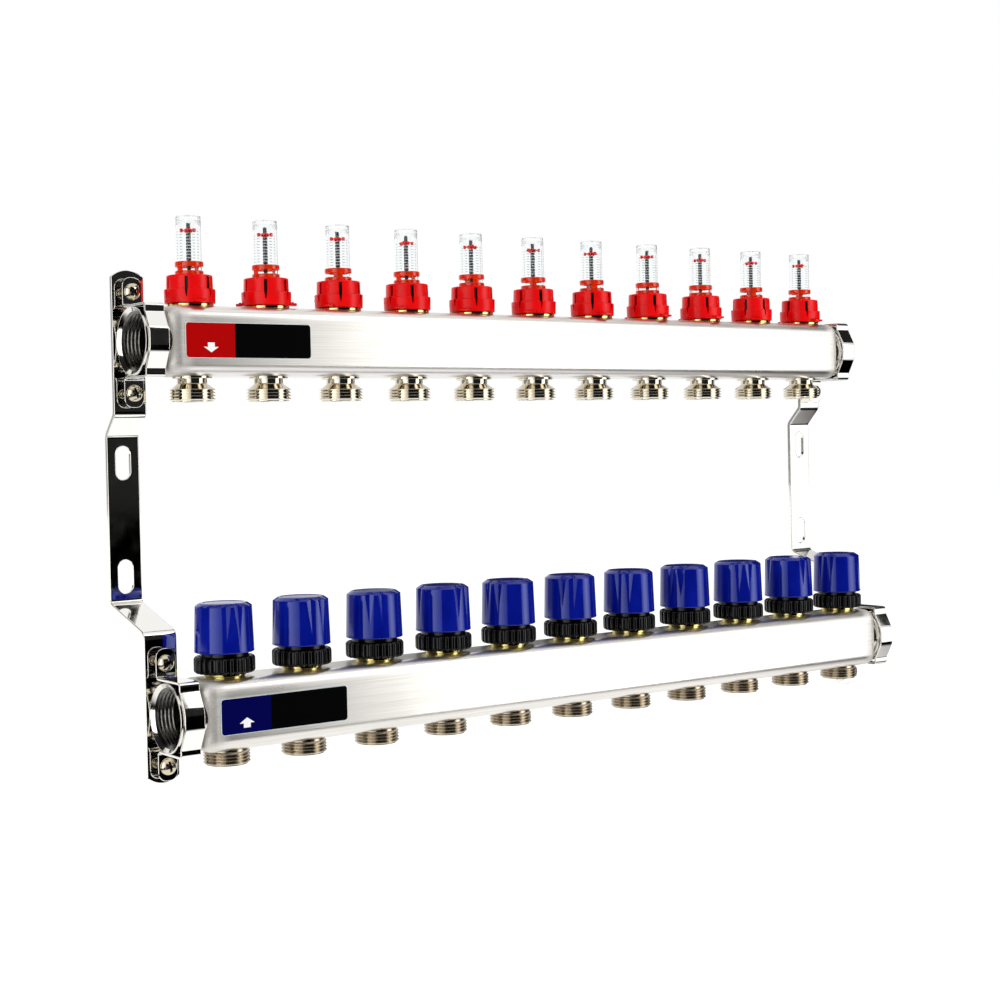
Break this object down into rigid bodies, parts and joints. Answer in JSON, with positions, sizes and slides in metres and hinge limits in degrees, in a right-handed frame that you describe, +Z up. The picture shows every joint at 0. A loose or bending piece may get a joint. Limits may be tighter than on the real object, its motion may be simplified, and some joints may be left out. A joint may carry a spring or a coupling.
{
  "type": "underfloor heating manifold",
  "caption": "Underfloor heating manifold: supply bar with sight-glass flow meters above a return bar with hand-capped valves, on two wall strips.",
  "frame": {"origin": "middle of the four wall slots, on the wall plane", "axes": "+X along the bars, +Y into the wall, +Z up"},
  "size_m": [0.579, 0.0873, 0.3217],
  "materials": {
    "bar_steel": "fine brushed stainless steel",
    "socket_chrome": "bright nickel-plated, polished",
    "strip_chrome": "bright zinc-plated sheet",
    "screw_zinc": "warm bright plating",
    "outlet_nickel": "nickel-plated, satin turned",
    "brass": "turned brass",
    "clear_plastic": "clear moulded polycarbonate",
    "clip_plastic": "translucent orange-red moulding",
    "black_plastic": "moulded glass-filled nylon",
    "seal_rubber": "smooth EPDM",
    "label_film": "printed film, semi-gloss",
    "red_plastic": "moulded ABS, satin",
    "indicator_plastic": "moulded acetal",
    "blue_plastic": "moulded ABS, glossy",
    "stem_steel": "turned stainless steel"
  },
  "bodies": {
    "manifold": {"supply_bar": "bar_steel", "return_bar": "bar_steel", "end_sockets": "socket_chrome", "left_bracket": "strip_chrome", "right_bracket": "strip_chrome", "clamp_straps": "strip_chrome", "clamp_screws": "screw_zinc", "supply_outlets": "outlet_nickel", "return_outlets": "outlet_nickel", "flow_meter_bodies": "brass", "sight_glasses": "clear_plastic", "clip_rings": "clip_plastic", "valve_inserts": "brass", "union_rings": "black_plastic", "seal_rings": "seal_rubber", "label_plates": "label_film"},
    "flow_collar_01": {"flow_collar_01": "red_plastic"},
    "flow_indicator_01": {"flow_indicator_01": "indicator_plastic"},
    "valve_stem_01": {"valve_stem_01": "stem_steel"},
    "return_cap_01": {"return_cap_01": "blue_plastic"},
    "flow_collar_02": {"flow_collar_02": "red_plastic"},
    "flow_indicator_02": {"flow_indicator_02": "indicator_plastic"},
    "valve_stem_02": {"valve_stem_02": "stem_steel"},
    "return_cap_02": {"return_cap_02": "blue_plastic"},
    "flow_collar_03": {"flow_collar_03": "red_plastic"},
    "flow_indicator_03": {"flow_indicator_03": "indicator_plastic"},
    "valve_stem_03": {"valve_stem_03": "stem_steel"},
    "return_cap_03": {"return_cap_03": "blue_plastic"},
    "flow_collar_04": {"flow_collar_04": "red_plastic"},
    "flow_indicator_04": {"flow_indicator_04": "indicator_plastic"},
    "valve_stem_04": {"valve_stem_04": "stem_steel"},
    "return_cap_04": {"return_cap_04": "blue_plastic"},
    "flow_collar_05": {"flow_collar_05": "red_plastic"},
    "flow_indicator_05": {"flow_indicator_05": "indicator_plastic"},
    "valve_stem_05": {"valve_stem_05": "stem_steel"},
    "return_cap_05": {"return_cap_05": "blue_plastic"},
    "flow_collar_06": {"flow_collar_06": "red_plastic"},
    "flow_indicator_06": {"flow_indicator_06": "indicator_plastic"},
    "valve_stem_06": {"valve_stem_06": "stem_steel"},
    "return_cap_06": {"return_cap_06": "blue_plastic"},
    "flow_collar_07": {"flow_collar_07": "red_plastic"},
    "flow_indicator_07": {"flow_indicator_07": "indicator_plastic"},
    "valve_stem_07": {"valve_stem_07": "stem_steel"},
    "return_cap_07": {"return_cap_07": "blue_plastic"},
    "flow_collar_08": {"flow_collar_08": "red_plastic"},
    "flow_indicator_08": {"flow_indicator_08": "indicator_plastic"},
    "valve_stem_08": {"valve_stem_08": "stem_steel"},
    "return_cap_08": {"return_cap_08": "blue_plastic"},
    "flow_collar_09": {"flow_collar_09": "red_plastic"},
    "flow_indicator_09": {"flow_indicator_09": "indicator_plastic"},
    "valve_stem_09": {"valve_stem_09": "stem_steel"},
    "return_cap_09": {"return_cap_09": "blue_plastic"},
    "flow_collar_10": {"flow_collar_10": "red_plastic"},
    "flow_indicator_10": {"flow_indicator_10": "indicator_plastic"},
    "valve_stem_10": {"valve_stem_10": "stem_steel"},
    "return_cap_10": {"return_cap_10": "blue_plastic"},
    "flow_collar_11": {"flow_collar_11": "red_plastic"},
    "flow_indicator_11": {"flow_indicator_11": "indicator_plastic"},
    "valve_stem_11": {"valve_stem_11": "stem_steel"},
    "return_cap_11": {"return_cap_11": "blue_plastic"}
  },
  "joints": [
    {"name": "collar_turn_01", "type": "hinge", "parent": "manifold", "child": "flow_collar_01", "pos_m": [-0.25, -0.0341, 0.132], "axis": [0, 0, 1], "range_deg": [0, 900]},
    {"name": "indicator_slide_01", "type": "slide", "parent": "manifold", "child": "flow_indicator_01", "axis": [0, 0, 1], "range_m": [-0.016, 0], "stiffness_N_per_m": 20, "springref_m": 0.005},
    {"name": "stem_slide_01", "type": "slide", "parent": "manifold", "child": "valve_stem_01", "axis": [0, 0, 1], "range_m": [-0.00075, 0.00225]},
    {"name": "cap_turn_01", "type": "hinge", "parent": "valve_stem_01", "child": "return_cap_01", "pos_m": [-0.25, -0.0661, -0.06], "axis": [0, 0, 1], "range_deg": [-181, 541]},
    {"name": "collar_turn_02", "type": "hinge", "parent": "manifold", "child": "flow_collar_02", "pos_m": [-0.2, -0.0341, 0.132], "axis": [0, 0, 1], "range_deg": [0, 900]},
    {"name": "indicator_slide_02", "type": "slide", "parent": "manifold", "child": "flow_indicator_02", "axis": [0, 0, 1], "range_m": [-0.016, 0], "stiffness_N_per_m": 20, "springref_m": 0.005},
    {"name": "stem_slide_02", "type": "slide", "parent": "manifold", "child": "valve_stem_02", "axis": [0, 0, 1], "range_m": [-0.00075, 0.00225]},
    {"name": "cap_turn_02", "type": "hinge", "parent": "valve_stem_02", "child": "return_cap_02", "pos_m": [-0.2, -0.0661, -0.06], "axis": [0, 0, 1], "range_deg": [-181, 541]},
    {"name": "collar_turn_03", "type": "hinge", "parent": "manifold", "child": "flow_collar_03", "pos_m": [-0.15, -0.0341, 0.132], "axis": [0, 0, 1], "range_deg": [0, 900]},
    {"name": "indicator_slide_03", "type": "slide", "parent": "manifold", "child": "flow_indicator_03", "axis": [0, 0, 1], "range_m": [-0.016, 0], "stiffness_N_per_m": 20, "springref_m": 0.005},
    {"name": "stem_slide_03", "type": "slide", "parent": "manifold", "child": "valve_stem_03", "axis": [0, 0, 1], "range_m": [-0.00075, 0.00225]},
    {"name": "cap_turn_03", "type": "hinge", "parent": "valve_stem_03", "child": "return_cap_03", "pos_m": [-0.15, -0.0661, -0.06], "axis": [0, 0, 1], "range_deg": [-181, 541]},
    {"name": "collar_turn_04", "type": "hinge", "parent": "manifold", "child": "flow_collar_04", "pos_m": [-0.1, -0.0341, 0.132], "axis": [0, 0, 1], "range_deg": [0, 900]},
    {"name": "indicator_slide_04", "type": "slide", "parent": "manifold", "child": "flow_indicator_04", "axis": [0, 0, 1], "range_m": [-0.016, 0], "stiffness_N_per_m": 20, "springref_m": 0.005},
    {"name": "stem_slide_04", "type": "slide", "parent": "manifold", "child": "valve_stem_04", "axis": [0, 0, 1], "range_m": [-0.00075, 0.00225]},
    {"name": "cap_turn_04", "type": "hinge", "parent": "valve_stem_04", "child": "return_cap_04", "pos_m": [-0.1, -0.0661, -0.06], "axis": [0, 0, 1], "range_deg": [-181, 541]},
    {"name": "collar_turn_05", "type": "hinge", "parent": "manifold", "child": "flow_collar_05", "pos_m": [-0.05, -0.0341, 0.132], "axis": [0, 0, 1], "range_deg": [0, 900]},
    {"name": "indicator_slide_05", "type": "slide", "parent": "manifold", "child": "flow_indicator_05", "axis": [0, 0, 1], "range_m": [-0.016, 0], "stiffness_N_per_m": 20, "springref_m": 0.005},
    {"name": "stem_slide_05", "type": "slide", "parent": "manifold", "child": "valve_stem_05", "axis": [0, 0, 1], "range_m": [-0.00075, 0.00225]},
    {"name": "cap_turn_05", "type": "hinge", "parent": "valve_stem_05", "child": "return_cap_05", "pos_m": [-0.05, -0.0661, -0.06], "axis": [0, 0, 1], "range_deg": [-181, 541]},
    {"name": "collar_turn_06", "type": "hinge", "parent": "manifold", "child": "flow_collar_06", "pos_m": [0, -0.0341, 0.132], "axis": [0, 0, 1], "range_deg": [0, 900]},
    {"name": "indicator_slide_06", "type": "slide", "parent": "manifold", "child": "flow_indicator_06", "axis": [0, 0, 1], "range_m": [-0.016, 0], "stiffness_N_per_m": 20, "springref_m": 0.005},
    {"name": "stem_slide_06", "type": "slide", "parent": "manifold", "child": "valve_stem_06", "axis": [0, 0, 1], "range_m": [-0.00075, 0.00225]},
    {"name": "cap_turn_06", "type": "hinge", "parent": "valve_stem_06", "child": "return_cap_06", "pos_m": [0, -0.0661, -0.06], "axis": [0, 0, 1], "range_deg": [-181, 541]},
    {"name": "collar_turn_07", "type": "hinge", "parent": "manifold", "child": "flow_collar_07", "pos_m": [0.05, -0.0341, 0.132], "axis": [0, 0, 1], "range_deg": [0, 900]},
    {"name": "indicator_slide_07", "type": "slide", "parent": "manifold", "child": "flow_indicator_07", "axis": [0, 0, 1], "range_m": [-0.016, 0], "stiffness_N_per_m": 20, "springref_m": 0.005},
    {"name": "stem_slide_07", "type": "slide", "parent": "manifold", "child": "valve_stem_07", "axis": [0, 0, 1], "range_m": [-0.00075, 0.00225]},
    {"name": "cap_turn_07", "type": "hinge", "parent": "valve_stem_07", "child": "return_cap_07", "pos_m": [0.05, -0.0661, -0.06], "axis": [0, 0, 1], "range_deg": [-181, 541]},
    {"name": "collar_turn_08", "type": "hinge", "parent": "manifold", "child": "flow_collar_08", "pos_m": [0.1, -0.0341, 0.132], "axis": [0, 0, 1], "range_deg": [0, 900]},
    {"name": "indicator_slide_08", "type": "slide", "parent": "manifold", "child": "flow_indicator_08", "axis": [0, 0, 1], "range_m": [-0.016, 0], "stiffness_N_per_m": 20, "springref_m": 0.005},
    {"name": "stem_slide_08", "type": "slide", "parent": "manifold", "child": "valve_stem_08", "axis": [0, 0, 1], "range_m": [-0.00075, 0.00225]},
    {"name": "cap_turn_08", "type": "hinge", "parent": "valve_stem_08", "child": "return_cap_08", "pos_m": [0.1, -0.0661, -0.06], "axis": [0, 0, 1], "range_deg": [-181, 541]},
    {"name": "collar_turn_09", "type": "hinge", "parent": "manifold", "child": "flow_collar_09", "pos_m": [0.15, -0.0341, 0.132], "axis": [0, 0, 1], "range_deg": [0, 900]},
    {"name": "indicator_slide_09", "type": "slide", "parent": "manifold", "child": "flow_indicator_09", "axis": [0, 0, 1], "range_m": [-0.016, 0], "stiffness_N_per_m": 20, "springref_m": 0.005},
    {"name": "stem_slide_09", "type": "slide", "parent": "manifold", "child": "valve_stem_09", "axis": [0, 0, 1], "range_m": [-0.00075, 0.00225]},
    {"name": "cap_turn_09", "type": "hinge", "parent": "valve_stem_09", "child": "return_cap_09", "pos_m": [0.15, -0.0661, -0.06], "axis": [0, 0, 1], "range_deg": [-181, 541]},
    {"name": "collar_turn_10", "type": "hinge", "parent": "manifold", "child": "flow_collar_10", "pos_m": [0.2, -0.0341, 0.132], "axis": [0, 0, 1], "range_deg": [0, 900]},
    {"name": "indicator_slide_10", "type": "slide", "parent": "manifold", "child": "flow_indicator_10", "axis": [0, 0, 1], "range_m": [-0.016, 0], "stiffness_N_per_m": 20, "springref_m": 0.005},
    {"name": "stem_slide_10", "type": "slide", "parent": "manifold", "child": "valve_stem_10", "axis": [0, 0, 1], "range_m": [-0.00075, 0.00225]},
    {"name": "cap_turn_10", "type": "hinge", "parent": "valve_stem_10", "child": "return_cap_10", "pos_m": [0.2, -0.0661, -0.06], "axis": [0, 0, 1], "range_deg": [-181, 541]},
    {"name": "collar_turn_11", "type": "hinge", "parent": "manifold", "child": "flow_collar_11", "pos_m": [0.25, -0.0341, 0.132], "axis": [0, 0, 1], "range_deg": [0, 900]},
    {"name": "indicator_slide_11", "type": "slide", "parent": "manifold", "child": "flow_indicator_11", "axis": [0, 0, 1], "range_m": [-0.016, 0], "stiffness_N_per_m": 20, "springref_m": 0.005},
    {"name": "stem_slide_11", "type": "slide", "parent": "manifold", "child": "valve_stem_11", "axis": [0, 0, 1], "range_m": [-0.00075, 0.00225]},
    {"name": "cap_turn_11", "type": "hinge", "parent": "valve_stem_11", "child": "return_cap_11", "pos_m": [0.25, -0.0661, -0.06], "axis": [0, 0, 1], "range_deg": [-181, 541]}
  ],
  "couplings": [
    {"joint": "cap_turn_01", "follows": "stem_slide_01", "rad_per_m": 4188.8},
    {"joint": "cap_turn_02", "follows": "stem_slide_02", "rad_per_m": 4188.8},
    {"joint": "cap_turn_03", "follows": "stem_slide_03", "rad_per_m": 4188.8},
    {"joint": "cap_turn_04", "follows": "stem_slide_04", "rad_per_m": 4188.8},
    {"joint": "cap_turn_05", "follows": "stem_slide_05", "rad_per_m": 4188.8},
    {"joint": "cap_turn_06", "follows": "stem_slide_06", "rad_per_m": 4188.8},
    {"joint": "cap_turn_07", "follows": "stem_slide_07", "rad_per_m": 4188.8},
    {"joint": "cap_turn_08", "follows": "stem_slide_08", "rad_per_m": 4188.8},
    {"joint": "cap_turn_09", "follows": "stem_slide_09", "rad_per_m": 4188.8},
    {"joint": "cap_turn_10", "follows": "stem_slide_10", "rad_per_m": 4188.8},
    {"joint": "cap_turn_11", "follows": "stem_slide_11", "rad_per_m": 4188.8}
  ]
}
